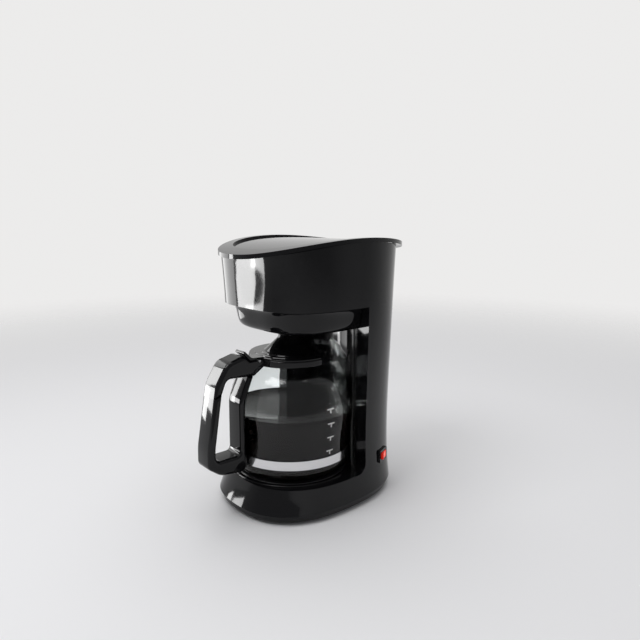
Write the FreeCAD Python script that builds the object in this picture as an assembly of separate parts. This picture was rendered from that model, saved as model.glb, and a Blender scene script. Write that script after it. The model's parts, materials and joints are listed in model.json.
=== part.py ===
import FreeCAD, Part
import math
import os

# Drip coffee maker with a glass carafe. Millimetres, +Z up, -Y towards the user,
# origin on the table under the middle of the whole machine.

# Overall form
overall_height = 305.0
overall_width = 176.0
lid_length = 224.0
handle_overhang = 40.0      # carafe handle in front of the lid's front lip

# Walls and clearances
wall = 2.6                  # housing
moving_gap = 0.3            # between pieces that move past each other
slip_fit = 0.2              # between pieces of one body that slide together
pin_fit = 0.05              # radial, a pin in its eye
through = 400.0             # longer than the machine, for cuts that go right through

# Oval plan of the body: 2 is an ellipse, a higher number is squarer
rim_squareness = 2.25
head_squareness = 3.3
base_squareness = 2.5
back_squareness = 2.45
oval_points = 20

# Body heights
foot_height = 4.0
cover_top = 11.0            # parting line of base cover and housing
deck_height = 37.5          # top of the base
waist_rise = 75.0           # narrowest place of the tower above the deck
head_drop = 76.0            # lower edge of the head below the highest point

# Body widths and lengths, as insets from the lid's rim
head_side_lip = 2.5
skirt_side_tuck = 5.0
waist_side_tuck = 7.5
deck_side_tuck = 6.5
base_side_tuck = 4.0
head_front_lip = 11.0
head_back_lip = 10.0
skirt_front_tuck = 18.0
skirt_back_tuck = 14.0
waist_front_tuck = 15.0
waist_back_tuck = 18.0
deck_front_tuck = 8.0
deck_back_tuck = 17.0
base_front_tuck = -2.0
base_back_tuck = 14.0

# Arched top: one large circle whose crown is the highest point
arch_radius = 436.0
crown_setback = 103.4       # crown in front of the rim's back tip
lid_thickness = 4.6
lid_border_side = 8.0
lid_border_front = 20.0
lid_border_back = 24.0
lid_dish_depth = 2.4
lid_spigot_depth = 7.0
lid_spigot_wall = 1.8
lid_spigot_gap = 1.0

# Lid hinge behind the head
hinge_back = 3.0            # axis behind the head's back wall
hinge_drop = 16.5           # axis below the crown
hinge_barrel_radius = 3.4
spigot_end = 40.0           # spigot stops this far behind the crown, clear of the hinge's swing
hinge_pin_radius = 1.6
hinge_ear_width = 6.0
hinge_ear_inner = 16.0      # half distance between the ears
hinge_pin_reach = 10.0      # pin inside the lid's barrel

# Bay for the carafe
carafe_setback = 80.0       # carafe axis behind the lid's front tip
bay_radius = 78.0
jamb_offset = 44.0          # tower's front edge behind the carafe axis
bay_corner = 12.0

# Warming plate
plate_radius = 66.0
plate_thickness = 1.2
plate_dish_radius = 52.0
plate_dish_depth = 0.5
deck_hole_radius = 61.0
seal_thickness = 1.0
seal_lip_depth = 4.0
surround_width = 5.0
surround_height = 1.6

# Heater under the plate
heater_radius = 42.0
heater_width = 15.0
heater_depth = 20.0
heater_leg = 28.0
stub_length = 36.0
tube_radius = 5.0
tube_wall = 1.2
rod_radius = 3.2
rod_overhang = 8.0
rod_tail = 3.0
strap_width = 14.0
strap_thickness = 1.6
stud_radius = 2.4
nut_width = 8.0
nut_height = 3.4
thermostat_radius = 8.0
thermostat_height = 7.0
fuse_radius = 2.6
fuse_length = 26.0

# Water path
tank_fit = 0.4
tank_wall = 1.8
tank_floor_height = 64.0
tank_top_drop = 31.0        # tank's rim below the highest point
outlet_x = 42.0             # tank outlet at -x, riser at +x, in line with the heater's legs
outlet_setback = 88.0       # behind the carafe axis
hose_wall = 2.2
hose_bend = 15.0
hose_fit = 0.1
valve_body_radius = 8.0
valve_body_height = 15.0
ball_radius = 3.6
clip_width = 5.0
clip_wire = 0.9
shower_radius = 24.0
shower_height = 7.0
shower_drop = 23.0          # shower's top below the highest point
shower_holes = 8
shower_hole_radius = 1.6

# Brew bowl, filter basket and drip stop
bowl_step = 5.5             # inset below the head's edge
bowl_taper = 7.5
bowl_drop = 27.0
bowl_wall = 2.2
bowl_floor = 2.5
bowl_round = 9.0
bowl_flange = 3.0           # thickness of the ledge that hangs on the head's deck
bowl_ledge = 2.0            # its width
bowl_bay_gap = 1.0
boss_radius = 25.0
boss_tip_radius = 13.0
boss_drop = 6.0
basket_top_rise = 41.0      # above the head's lower edge
basket_bottom_radius = 39.0
basket_top_radius = 55.0
basket_wall = 1.8
basket_rim = 3.0
basket_ribs = 12
outlet_radius = 9.0
outlet_wall = 1.8
seal_width = 3.2
valve_head_radius = 9.6
valve_head_height = 2.0
valve_stem_radius = 2.6
valve_tip_drop = 8.7        # below the bowl
spring_radius = 4.6
spring_wire = 0.5
spring_turns = 4
coil_steps = 10             # wire sections in one turn
spring_height = 10.0
retainer_radius = 13.0
retainer_thickness = 1.6
retainer_leg = 2.2

# Rocker switch in the right side of the tower
switch_setback = 79.0       # behind the carafe axis
switch_height = 47.0
switch_turn = 21.0          # its face follows the tower's side
switch_width = 21.0
switch_tall = 15.0
switch_frame = 2.4
switch_proud = 2.2
switch_depth = 20.0
rocker_rise = 3.4
rocker_tilt = 7.0
rocker_pin_radius = 1.2

# Cord gland in the back of the base
gland_x = -34.0
gland_height = 26.0
gland_neck = 6.2            # half side of the square neck, which can't turn in the wall
gland_neck_round = 1.5
gland_flange = 10.0         # radius outside the wall
gland_flange_thickness = 3.0
gland_depth = 8.0           # inside the wall
gland_barb = 1.5
gland_barb_length = 3.0
gland_bore = 3.6

# Base cover, feet and screws
cover_step = 1.2
cover_wall = 2.2
cover_floor = 2.4
foot_radius = 9.0
foot_recess = 1.0
foot_x = 50.0
foot_front_setback = 37.0
foot_back_setback = 152.0
screw_x = 60.0
screw_front_setback = 52.0
screw_back_setback = 160.0
boss_post_radius = 5.0
screw_radius = 1.5
screw_head_radius = 3.4
screw_head_height = 2.2
screw_grip = 14.0
vent_count = 7
vent_length = 34.0
vent_width = 3.0
vent_pitch = 8.0

# Carafe glass
glass_wall = 2.4
glass_foot_radius = 60.0
band_seat_radius = 70.0
band_rise = 16.5            # band's lower edge above the carafe's foot
band_height = 10.0
band_thickness = 0.8
bulge_radius = 72.5
bulge_rise = 65.0
shoulder_radius = 62.5
shoulder_drop = 21.0
neck_radius = 44.0
neck_height = 4.0

# Carafe collar, lid and handle
collar_radius = 49.5
collar_height = 7.5
collar_wall = 2.4
collar_top_wall = 2.0
spout_reach = 59.0
spout_half_width = 21.0
brim_thickness = 2.4
hub_rise = 19.5             # hub's top above the brim
hub_radius = 27.0
hub_tip_radius = 13.5
funnel_radius = 11.0
funnel_hole = 5.0
plug_wall = 1.8
plug_depth = 9.0
tab_width = 16.0
lid_pin_radius = 1.5
lid_pin_setback = 53.0
handle_width = 26.0
grip_depth = 9.5
handle_round = 4.0
band_tab_length = 10.0
band_screw_radius = 1.6
band_head_radius = 3.2
band_head_height = 2.0
band_head_depth = 2.6
lug_half = 1.6              # outer half distance of the two lugs
bar_thickness = 7.0         # handle's bar beside the glass
bar_lean_drop = 41.1        # bar leans towards the neck this far below the glass's top

# Places worked out from the sizes above
half_width = overall_width / 2
rim_back = (lid_length + handle_overhang) / 2
rim_front = rim_back - lid_length
handle_front = -rim_back
waist_height = deck_height + waist_rise
skirt_height = overall_height - head_drop
crown_y = rim_back - crown_setback
carafe_axis = rim_front + carafe_setback
jamb = carafe_axis + jamb_offset
plate_bottom = deck_height + seal_thickness
plate_top = plate_bottom + plate_thickness
carafe_bottom = plate_top + moving_gap
bowl_bottom = skirt_height - bowl_drop
deck_top = skirt_height + wall
basket_bottom = bowl_bottom + bowl_floor
basket_top = skirt_height + basket_top_rise
valve_tip = bowl_bottom - valve_tip_drop
hub_top = valve_tip - moving_gap
brim_top = hub_top - hub_rise
brim_bottom = brim_top - brim_thickness
collar_bottom = brim_bottom - collar_height
glass_top = brim_bottom - collar_top_wall
band_bottom = carafe_bottom + band_rise
band_top = band_bottom + band_height
tank_top = overall_height - tank_top_drop
outlet_y = carafe_axis + outlet_setback
heater_bottom = plate_bottom - heater_depth
tube_height = heater_bottom + tube_radius + 1.0
stub_end = carafe_axis + heater_leg + stub_length
shower_top = overall_height - shower_drop
head_back = rim_back - head_back_lip
hinge_y = head_back + hinge_back
hinge_z = overall_height - hinge_drop - lid_thickness

up = FreeCAD.Vector(0, 0, 1)
ahead = FreeCAD.Vector(1, 0, 0)


def point(x, y, z):
    return FreeCAD.Vector(x, y, z)


def level(height, side_tuck, front_tuck, back_tuck, squareness):
    return (height, half_width - side_tuck, rim_front + front_tuck, rim_back - back_tuck, squareness)


body_levels = [
    level(cover_top, base_side_tuck, base_front_tuck, base_back_tuck, base_squareness),
    level(deck_height, deck_side_tuck, deck_front_tuck, deck_back_tuck, base_squareness),
    level(waist_height, waist_side_tuck, waist_front_tuck, waist_back_tuck, base_squareness),
    level(skirt_height, skirt_side_tuck, skirt_front_tuck, skirt_back_tuck, head_squareness),
    level(overall_height, head_side_lip, head_front_lip, head_back_lip, head_squareness),
]
base_level = body_levels[0]
skirt_level = body_levels[3]
head_level = body_levels[4]
rim_level = level(overall_height, 0, 0, 0, rim_squareness)


def oval(plan, inset, height):
    """Closed curve of one body level, set in by a wall and moved to a height."""
    reach_x = plan[1] - inset
    front = plan[2] + inset
    back = plan[3] - inset
    middle = (front + back) / 2
    reach_y = (back - front) / 2
    points = []
    for step in range(oval_points):
        turn = 2 * math.pi * step / oval_points
        across = math.cos(turn)
        along = math.sin(turn)
        power = 2 / (back_squareness if along > 0 else plan[4])
        x = reach_x * math.copysign(abs(across) ** power, across)
        y = middle + reach_y * math.copysign(abs(along) ** power, along)
        points.append(point(x, y, height))
    curve = Part.BSplineCurve()
    curve.interpolate(points, PeriodicFlag=True)
    return Part.Wire(curve.toShape())


def oval_prism(plan, inset, low, high):
    return Part.Face(oval(plan, inset, low)).extrude(up * (high - low))


def oval_loft(plan_low, inset_low, low, plan_high, inset_high, high):
    return Part.makeLoft([oval(plan_low, inset_low, low), oval(plan_high, inset_high, high)], True)


made_forms = {}


def body_form(inset):
    """Lofted outer form of base, tower and head; a form that is set in reaches past both ends."""
    if inset not in made_forms:
        made_forms[inset] = loft_body(inset)
    return made_forms[inset]


def loft_body(inset):
    spare = 2.0 if inset else 0.0
    sections = []
    for plan in body_levels:
        height = plan[0]
        if plan is base_level:
            height -= spare
        if plan is head_level:
            height += spare
        sections.append(oval(plan, inset, height))
    return Part.makeLoft(sections, True, False)


def under_arch(depth):
    """Everything below the arched top, lowered by a depth."""
    centre = point(-through / 2, crown_y, overall_height - arch_radius)
    return Part.makeCylinder(arch_radius - depth, through, centre, ahead)


def outline(corners, place):
    """Closed wire through corners (u, v, radius), with tangent arcs at the rounded ones."""
    edges = []
    ends = []
    count = len(corners)
    for index in range(count):
        u, v, radius = corners[index]
        here = FreeCAD.Vector(u, v, 0)
        before = FreeCAD.Vector(corners[index - 1][0], corners[index - 1][1], 0)
        after = FreeCAD.Vector(corners[(index + 1) % count][0], corners[(index + 1) % count][1], 0)
        back_way = (before - here).normalize()
        on_way = (after - here).normalize()
        if radius == 0:
            ends.append((here, None, here))
            continue
        half_angle = back_way.getAngle(on_way) / 2
        tangent = radius / math.tan(half_angle)
        inward = (back_way + on_way).normalize()
        middle = here + inward * (radius / math.sin(half_angle) - radius)
        ends.append((here + back_way * tangent, middle, here + on_way * tangent))
    for index in range(count):
        start, middle, finish = ends[index]
        if middle is not None:
            edges.append(Part.Arc(place(start), place(middle), place(finish)).toShape())
        following = ends[(index + 1) % count][0]
        if finish.distanceToPoint(following) > 1e-6:
            edges.append(Part.LineSegment(place(finish), place(following)).toShape())
    return Part.Wire(edges)


def side_profile(corners, half):
    """Solid of an outline in the side view, (y, z, radius), reaching half to each side."""
    wire = outline(corners, lambda p: point(-half, p.x, p.y))
    return Part.Face(wire).extrude(ahead * 2 * half)


def plan_profile(corners, low, high):
    wire = outline(corners, lambda p: point(p.x, p.y, low))
    return Part.Face(wire).extrude(up * (high - low))


def turned(corners, y=carafe_axis, x=0.0, angle=360.0):
    """Solid of revolution of an outline (r, z, radius) about an upright axis."""
    wire = outline(corners, lambda p: point(x + p.x, y, p.y))
    return Part.Face(wire).revolve(point(x, y, 0), up, angle)


def post(radius, low, high, x, y):
    return Part.makeCylinder(radius, high - low, point(x, y, low))


def box(low, high):
    size = (high[0] - low[0], high[1] - low[1], high[2] - low[2])
    return Part.makeBox(size[0], size[1], size[2], point(low[0], low[1], low[2]))


def rounded(shape, edges, radius):
    return shape.makeFillet(radius, edges)


def level_edges(shape, height):
    return [edge for edge in shape.Edges
            if abs(edge.BoundBox.ZMin - height) < 0.01 and abs(edge.BoundBox.ZMax - height) < 0.01]


def bay_plan(grow, low, high):
    """Space in front of the tower: open to the front, hollowed round the carafe."""
    front = box((-through / 2, -through / 2, low), (through / 2, jamb + grow, high))
    return front.fuse(post(bay_radius + grow, low, high, 0, carafe_axis))


def bay_form(grow):
    low = deck_height - grow
    high = skirt_height + grow
    corner = bay_corner + grow
    front = side_profile([(-through / 2, low, 0), (jamb + grow, low, corner),
                          (jamb + grow, high, 0), (-through / 2, high, 0)], through / 2)
    return front.fuse(post(bay_radius + grow, low, high, 0, carafe_axis))


screw_places = []
for side in (-1, 1):
    for setback in (screw_front_setback, screw_back_setback):
        screw_places.append((side * screw_x, rim_front + setback))
foot_places = []
for side in (-1, 1):
    for setback in (foot_front_setback, foot_back_setback):
        foot_places.append((side * foot_x, rim_front + setback))
cover_inside = foot_height + cover_floor


def bowl_plan(grow, low, high):
    """Straight outline of the brew bowl's mouth, grown outwards."""
    mouth = oval_prism(skirt_level, bowl_step - grow, low, high)
    return mouth.common(bay_plan(grow - bowl_bay_gap, low, high))


def side_reach(plan, y):
    """Half width of a body level at a distance along the machine."""
    middle = (plan[2] + plan[3]) / 2
    share = abs(y - middle) / ((plan[3] - plan[2]) / 2)
    power = back_squareness if y > middle else plan[4]
    return plan[1] * (1 - share ** power) ** (1 / power)


def level_at(height):
    """Body level between the deck and the base, at a height."""
    deck = body_levels[1]
    share = (height - deck[0]) / (base_level[0] - deck[0])
    return tuple(a + (b - a) * share for a, b in zip(deck, base_level))


switch_y = carafe_axis + switch_setback
switch_x = side_reach(level_at(switch_height), switch_y)


def at_switch(shape):
    """Move a shape from the switch's own frame, face along +x, to the tower's side."""
    shape.rotate(point(0, 0, 0), up, switch_turn)
    shape.translate(point(switch_x, switch_y, switch_height))
    return shape


def switch_block(width, tall, back_end, front_end):
    return box((back_end, -width / 2, -tall / 2), (front_end, width / 2, tall / 2))


def gland_wall():
    """Distance of the outside of the back wall at the gland's height."""
    plan = level_at(gland_height)
    middle = (plan[2] + plan[3]) / 2
    share = (1 - (abs(gland_x) / plan[1]) ** back_squareness) ** (1 / back_squareness)
    return middle + (plan[3] - middle) * share


gland_y = gland_wall()
along_y = FreeCAD.Vector(0, 1, 0)


def gland_block(half, start, end):
    """Square length of the gland with rounded corners."""
    block = box((gland_x - half, start, gland_height - half), (gland_x + half, end, gland_height + half))
    corners = [edge for edge in block.Edges if edge.BoundBox.YLength > end - start - 0.01]
    return rounded(block, corners, gland_neck_round)


def housing():
    outer = body_form(0).cut(bay_form(0))
    void = body_form(wall).cut(bay_form(wall))
    shell = outer.cut(void).common(under_arch(lid_thickness + moving_gap))
    shell = shell.cut(post(deck_hole_radius, deck_height - 2 * wall, deck_height + wall, 0, carafe_axis))
    shell = shell.cut(bowl_plan(slip_fit, skirt_height - wall, deck_top + wall))
    rise = [(plate_radius + moving_gap, deck_height - wall / 2, 0),
            (plate_radius + surround_width, deck_height - wall / 2, 0),
            (plate_radius + surround_width, deck_height + surround_height, surround_height / 2),
            (plate_radius + moving_gap, deck_height + surround_height, surround_height / 2)]
    shell = shell.fuse(turned(rise))
    for x, y in screw_places:
        shell = shell.fuse(screw_post(x, y))
    for x, y in screw_places:
        shell = shell.cut(post(screw_radius + pin_fit, 0, cover_inside + screw_grip, x, y))
    block = switch_block(switch_width - 2 * switch_frame + 2 * slip_fit,
                         switch_tall - 2 * switch_frame + 2 * slip_fit, -switch_depth, switch_depth)
    shell = shell.cut(at_switch(block))
    reach = 2 * wall + gland_flange
    shell = shell.cut(gland_block(gland_neck + slip_fit, gland_y - reach, gland_y + reach))
    for side in (-1, 1):
        shell = shell.fuse(hinge_ear(side))
    return shell


def screw_post(x, y):
    """Post for a base screw, hung from the deck or grown from the tower's wall."""
    top = deck_height - wall / 2
    form = post(boss_post_radius, cover_inside, top, x, y)
    if y > jamb:
        reach = point(math.copysign(through / 8, x), 0, 0)
        rib = box((min(x, x + reach.x), y - wall / 2, cover_top), (max(x, x + reach.x), y + wall / 2, top))
        form = form.fuse(rib.common(body_form(wall / 2)))
    return form


def hinge_ear(side):
    inner = side * hinge_ear_inner
    outer = side * (hinge_ear_inner + hinge_ear_width)
    start = point(min(inner, outer), hinge_y, hinge_z)
    eye = Part.makeCylinder(hinge_barrel_radius, hinge_ear_width, start, ahead)
    root = hinge_y - 4 * hinge_barrel_radius
    web = side_profile([(root, hinge_z - 3 * hinge_barrel_radius, 0),
                        (hinge_y, hinge_z - hinge_barrel_radius, 0),
                        (hinge_y, hinge_z + hinge_barrel_radius, 0),
                        (root, hinge_z + hinge_barrel_radius, 0)], hinge_ear_width / 2)
    web.translate(point((inner + outer) / 2, 0, 0))
    ear = eye.fuse(web.cut(body_form(wall)))
    return ear.cut(Part.makeCylinder(hinge_pin_radius, hinge_ear_width, start, ahead))


def hinge_pins():
    length = hinge_ear_width + hinge_pin_reach
    pins = []
    for side in (-1, 1):
        far = side * (hinge_ear_inner + hinge_ear_width)
        start = min(far, far - side * length)
        pins.append(Part.makeCylinder(hinge_pin_radius, length, point(start, hinge_y, hinge_z), ahead))
    return Part.makeCompound(pins)


def top_lid():
    skin = oval_prism(rim_level, 0, overall_height - through / 4, overall_height + 1)
    skin = skin.common(under_arch(0)).cut(under_arch(lid_thickness))
    dish_plan = level(0, lid_border_side, lid_border_front, lid_border_back, rim_squareness)
    dish = oval_prism(dish_plan, 0, overall_height - through / 4, overall_height + 1)
    skin = skin.cut(dish.cut(under_arch(lid_dish_depth)))
    inset = wall + lid_spigot_gap
    slice_of = under_arch(lid_thickness / 2).cut(under_arch(lid_thickness + lid_spigot_depth))
    spigot = body_form(inset).common(slice_of).cut(body_form(inset + lid_spigot_wall))
    spigot = spigot.cut(box((-through / 2, crown_y + spigot_end, 0), (through / 2, through, through)))
    half = hinge_ear_inner - moving_gap
    barrel = Part.makeCylinder(hinge_barrel_radius, 2 * half, point(-half, hinge_y, hinge_z), ahead)
    web = box((-half, hinge_y - 1.5, hinge_z), (half, hinge_y + hinge_barrel_radius, overall_height))
    web = web.common(under_arch(lid_thickness / 2))
    lid = skin.fuse(spigot).fuse(barrel).fuse(web)
    for side in (-1, 1):
        inner = side * (hinge_ear_inner - hinge_pin_reach - moving_gap)
        start = min(inner, side * hinge_ear_inner)
        bore = Part.makeCylinder(hinge_pin_radius + pin_fit, hinge_pin_reach + moving_gap,
                                 point(start, hinge_y, hinge_z), ahead)
        lid = lid.cut(bore)
    return lid.removeSplitter()


def base_cover():
    outer = oval_loft(base_level, cover_step + 1.5, foot_height, base_level, cover_step, cover_top)
    inner = oval_loft(base_level, cover_step + cover_wall + 1.5, cover_inside,
                      base_level, cover_step + cover_wall, cover_top + 1)
    tray = outer.cut(inner)
    for x, y in foot_places:
        tray = tray.cut(post(foot_radius, foot_height - 1, foot_height + foot_recess, x, y))
    for x, y in screw_places:
        tray = tray.cut(post(screw_radius + slip_fit, 0, cover_top, x, y))
        tray = tray.cut(post(screw_head_radius + slip_fit, 0, foot_height + screw_head_height / 2, x, y))
    for index in range(vent_count):
        y = carafe_axis + (index - (vent_count - 1) / 2) * vent_pitch
        slot = box((-vent_length / 2, y - vent_width / 2, 0), (vent_length / 2, y + vent_width / 2,
                                                               cover_top))
        tray = tray.cut(slot)
    return tray.removeSplitter()


def rubber_feet():
    feet = []
    for x, y in foot_places:
        corners = [(0, 0, 0), (foot_radius, 0, 1.2), (foot_radius, foot_height + foot_recess, 0),
                   (0, foot_height + foot_recess, 0)]
        feet.append(turned(corners, y, x))
    return Part.makeCompound(feet)


def pan_screw(x, y, head_low, shank_top):
    """Screw that points up, with a domed head below."""
    head_top = head_low + screw_head_height
    corners = [(0, head_low, 0), (screw_head_radius, head_low, 1.0), (screw_head_radius, head_top, 0),
               (screw_radius, head_top, 0), (screw_radius, shank_top, 0.6), (0, shank_top, 0)]
    return turned(corners, y, x)


def base_screws():
    head_low = foot_height + screw_head_height / 2 - screw_head_height
    return Part.makeCompound([pan_screw(x, y, head_low, cover_inside + screw_grip - 1) for x,
                              y in screw_places])


def warming_plate():
    dish = plate_top - plate_dish_depth
    corners = [(0, plate_bottom, 0), (plate_radius, plate_bottom, 0), (plate_radius, plate_top, 0.6),
               (plate_dish_radius + 1, plate_top, 0), (plate_dish_radius, dish, 0), (0, dish, 0)]
    return turned(corners)


def plate_seal():
    inner = deck_hole_radius - slip_fit
    corners = [(inner - 1.2, deck_height - seal_lip_depth, 0), (inner, deck_height - seal_lip_depth, 0),
               (inner, deck_height, 0), (plate_radius - 0.5, deck_height, 0),
               (plate_radius - 0.5, plate_bottom, 0), (inner - 1.2, plate_bottom, 0)]
    return turned(corners)


def heater_section(low, width, radius):
    """Flat foot against the plate over a round water tube."""
    half = width / 2
    return [(radius - half, plate_bottom, 0), (radius - half, plate_bottom - 4, 1.0),
            (radius - tube_radius - 1.0, low, 2.0), (radius + tube_radius + 1.0, low, 2.0),
            (radius + half, plate_bottom - 4, 1.0), (radius + half, plate_bottom, 0)]


def heater_body():
    """Horseshoe of extruded aluminium whose water tube ends in two hose stubs towards the back."""
    corners = heater_section(heater_bottom, heater_width, heater_radius)
    half_ring = turned(corners, angle=-180.0)
    form = half_ring
    for side in (-1, 1):
        wire = outline(corners, lambda p: point(side * p.x, carafe_axis, p.y))
        form = form.fuse(Part.Face(wire).extrude(point(0, heater_leg, 0)))
        stub = Part.makeCylinder(tube_radius, stub_end - carafe_axis - heater_leg,
                                 point(side * heater_radius, carafe_axis + heater_leg, tube_height),
                                 along_y)
        bore = Part.makeCylinder(tube_radius - tube_wall, stub_end - carafe_axis,
                                 point(side * heater_radius, carafe_axis, tube_height), along_y)
        form = form.fuse(stub).cut(bore)
        rod = Part.makeCylinder(rod_radius + slip_fit, 2 * heater_leg,
                                point(side * heater_radius, carafe_axis + heater_leg - rod_overhang,
                                      plate_bottom - rod_radius - 0.8), along_y)
        form = form.cut(rod)
    ring = Part.makeTorus(heater_radius, tube_radius - tube_wall, point(0, carafe_axis, tube_height))
    front = box((-through / 2, -through / 2, 0), (through / 2, carafe_axis, through))
    form = form.cut(ring.common(front))
    return form.removeSplitter()


def heating_rods():
    rods = []
    start = carafe_axis + heater_leg - rod_overhang
    for side in (-1, 1):
        place = point(side * heater_radius, start, plate_bottom - rod_radius - 0.8)
        rod = Part.makeCylinder(rod_radius, 2 * rod_overhang, place, along_y)
        tail = Part.makeCylinder(rod_radius / 2, 2 * rod_overhang + rod_tail, place, along_y)
        rods.append(rod.fuse(tail))
    return Part.makeCompound(rods)


def heater_strap():
    half = heater_radius + heater_width / 2
    top = heater_bottom
    bar = box((-half, carafe_axis - strap_width / 2, top - strap_thickness),
              (half, carafe_axis + strap_width / 2, top))
    return bar.cut(post(stud_radius + slip_fit, 0, top + 1, 0, carafe_axis))


def plate_stud():
    low = heater_bottom - strap_thickness - nut_height - 2
    return post(stud_radius, low, plate_bottom, 0, carafe_axis)


def stud_nut():
    top = heater_bottom - strap_thickness
    radius = nut_width / math.sqrt(3)
    corners = []
    for side in range(6):
        turn = math.pi * side / 3
        corners.append((radius * math.cos(turn), carafe_axis + radius * math.sin(turn), 0))
    nut = plan_profile(corners, top - nut_height, top)
    return nut.cut(post(stud_radius + pin_fit, 0, top + 1, 0, carafe_axis))


def thermostat():
    y = carafe_axis - heater_radius
    top = heater_bottom
    can = turned([(0, top - thermostat_height, 0), (thermostat_radius, top - thermostat_height, 1.0),
                  (thermostat_radius, top, 0), (0, top, 0)], y)
    for side in (-1, 1):
        blade = box((side * 4 - 1.6, y - 0.4, top - thermostat_height - 3.5),
                    (side * 4 + 1.6, y + 0.4, top - thermostat_height + 0.5))
        can = can.fuse(blade)
    return can


def thermal_fuse():
    start = carafe_axis + strap_width / 2 + 2
    place = point(heater_radius, start, heater_bottom - fuse_radius)
    body = Part.makeCylinder(fuse_radius, fuse_length, place, along_y)
    lead = Part.makeCylinder(0.5, fuse_length + 6, place - along_y * 3, along_y)
    return body.fuse(lead)


def hose(side, top):
    """Silicone hose from a heater stub back under the tower and up."""
    x = side * heater_radius
    start = point(x, stub_end - 12, tube_height)
    bend_start = point(x, outlet_y - hose_bend, tube_height)
    slant = hose_bend * (1 - math.sqrt(0.5))
    bend_middle = point(x, outlet_y - slant, tube_height + slant)
    bend_end = point(x, outlet_y, tube_height + hose_bend)
    edges = [Part.LineSegment(start, bend_start).toShape(),
             Part.Arc(bend_start, bend_middle, bend_end).toShape(),
             Part.LineSegment(bend_end, point(x, outlet_y, top)).toShape()]
    path = Part.Wire(edges)
    tubes = []
    for radius in (tube_radius + hose_fit + hose_wall, tube_radius + hose_fit):
        ring = Part.Wire(Part.makeCircle(radius, start, along_y))
        tubes.append(path.makePipeShell([ring], True, False))
    return tubes[0].cut(tubes[1])


hose_top = tank_floor_height - 6.0


def hose_clips():
    clips = []
    inner = tube_radius + hose_fit + hose_wall + 0.05
    for side in (-1, 1):
        x = side * heater_radius
        low = Part.makeCylinder(inner + clip_wire, clip_width, point(x, stub_end - 9, tube_height), along_y)
        clips.append(low.cut(Part.makeCylinder(inner, clip_width, point(x, stub_end - 9, tube_height),
                                               along_y)))
        high = post(inner + clip_wire, hose_top - 8, hose_top - 8 + clip_width, x, outlet_y)
        clips.append(high.cut(post(inner, hose_top - 9, hose_top, x, outlet_y)))
    return Part.makeCompound(clips)


def water_tank():
    """Reservoir that fills the tower behind the bay and rests on the head's deck."""
    def part_of(inset, low, high, grow):
        slab = box((-through / 2, -through / 2, low), (through / 2, through / 2, high))
        return body_form(inset).common(slab).cut(bay_plan(grow, low - 1, high + 1))

    skin = wall + tank_fit
    lower = part_of(skin, tank_floor_height, deck_top, skin)
    upper = part_of(skin, deck_top, tank_top, 1.0)
    inside = skin + tank_wall
    lower_void = part_of(inside, tank_floor_height + tank_wall, deck_top + tank_wall, inside)
    upper_void = part_of(inside, deck_top + tank_wall, tank_top + 2, 1.0 + tank_wall)
    tank = lower.fuse(upper).cut(lower_void).cut(upper_void)
    for side in (-1, 1):
        x = side * outlet_x
        tank = tank.fuse(post(tube_radius, tank_floor_height - 18, tank_floor_height + 1, x, outlet_y))
        bore = tube_radius - tube_wall if side < 0 else riser_radius + slip_fit
        tank = tank.cut(post(bore, tank_floor_height - 19, tank_floor_height + 3, x, outlet_y))
    return tank.removeSplitter()


riser_radius = tube_radius - tube_wall


def riser_tube():
    low = tank_floor_height - 17
    high = shower_top - shower_height / 2
    tube = post(riser_radius, low, high, outlet_x, outlet_y)
    return tube.cut(post(riser_radius - 1.0, low - 1, high + 1, outlet_x, outlet_y))


def check_valve():
    """Cage on the tank's floor that traps the ball over the outlet."""
    low = tank_floor_height + tank_wall
    high = low + valve_body_height
    inner = ball_radius + 0.6
    x = -outlet_x
    cage = post(valve_body_radius, low, high, x, outlet_y)
    cage = cage.cut(post(inner, low + 3, high - 2, x, outlet_y))
    cage = cage.cut(post(ball_radius - 1.0, low - 1, low + 4, x, outlet_y))
    cage = cage.cut(post(ball_radius - 1.4, high - 3, high + 1, x, outlet_y))
    for turn in (0, 90):
        window = box((-through / 4, -2.0, low + 5), (through / 4, 2.0, high - 3.5))
        window.rotate(point(0, 0, 0), up, turn + 45)
        window.translate(point(x, outlet_y, 0))
        cage = cage.cut(window)
    return cage


def check_ball():
    """Ball that rests on the seat ring and lifts while water is drawn up."""
    low = tank_floor_height + tank_wall
    return Part.makeSphere(ball_radius, point(-outlet_x, outlet_y, low + 3 + ball_radius + 0.05))


def shower_head():
    """Arm from the riser to a rose above the filter basket."""
    low = shower_top - shower_height
    rose = turned([(0, low, 0), (shower_radius, low, 1.5), (shower_radius, shower_top, 2.5),
                   (0, shower_top, 0)])
    reach = math.hypot(outlet_x, outlet_y - carafe_axis)
    arm = box((0, -6, low), (reach, 6, shower_top))
    arm.rotate(point(0, 0, 0), up, math.degrees(math.atan2(outlet_y - carafe_axis, outlet_x)))
    arm.translate(point(0, carafe_axis, 0))
    socket = post(riser_radius + 2.2, low - 6, shower_top, outlet_x, outlet_y)
    head = rose.fuse(arm).fuse(socket)
    void = turned([(0, low + 1.6, 0), (shower_radius - 2, low + 1.6, 0),
                   (shower_radius - 2, shower_top - 1.6, 0),
                   (0, shower_top - 1.6, 0)])
    channel = box((0, -4.2, low + 1.6), (reach, 4.2, shower_top - 1.6))
    channel.rotate(point(0, 0, 0), up, math.degrees(math.atan2(outlet_y - carafe_axis, outlet_x)))
    channel.translate(point(0, carafe_axis, 0))
    head = head.cut(void).cut(channel)
    head = head.cut(post(riser_radius + pin_fit, low - 7, shower_top - shower_height / 2, outlet_x,
                         outlet_y))
    for index in range(shower_holes):
        turn = 2 * math.pi * index / shower_holes
        ring = 0.65 * shower_radius
        head = head.cut(post(shower_hole_radius, low - 1, low + 3, ring * math.cos(turn),
                             carafe_axis + ring * math.sin(turn)))
    return head.removeSplitter()


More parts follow.
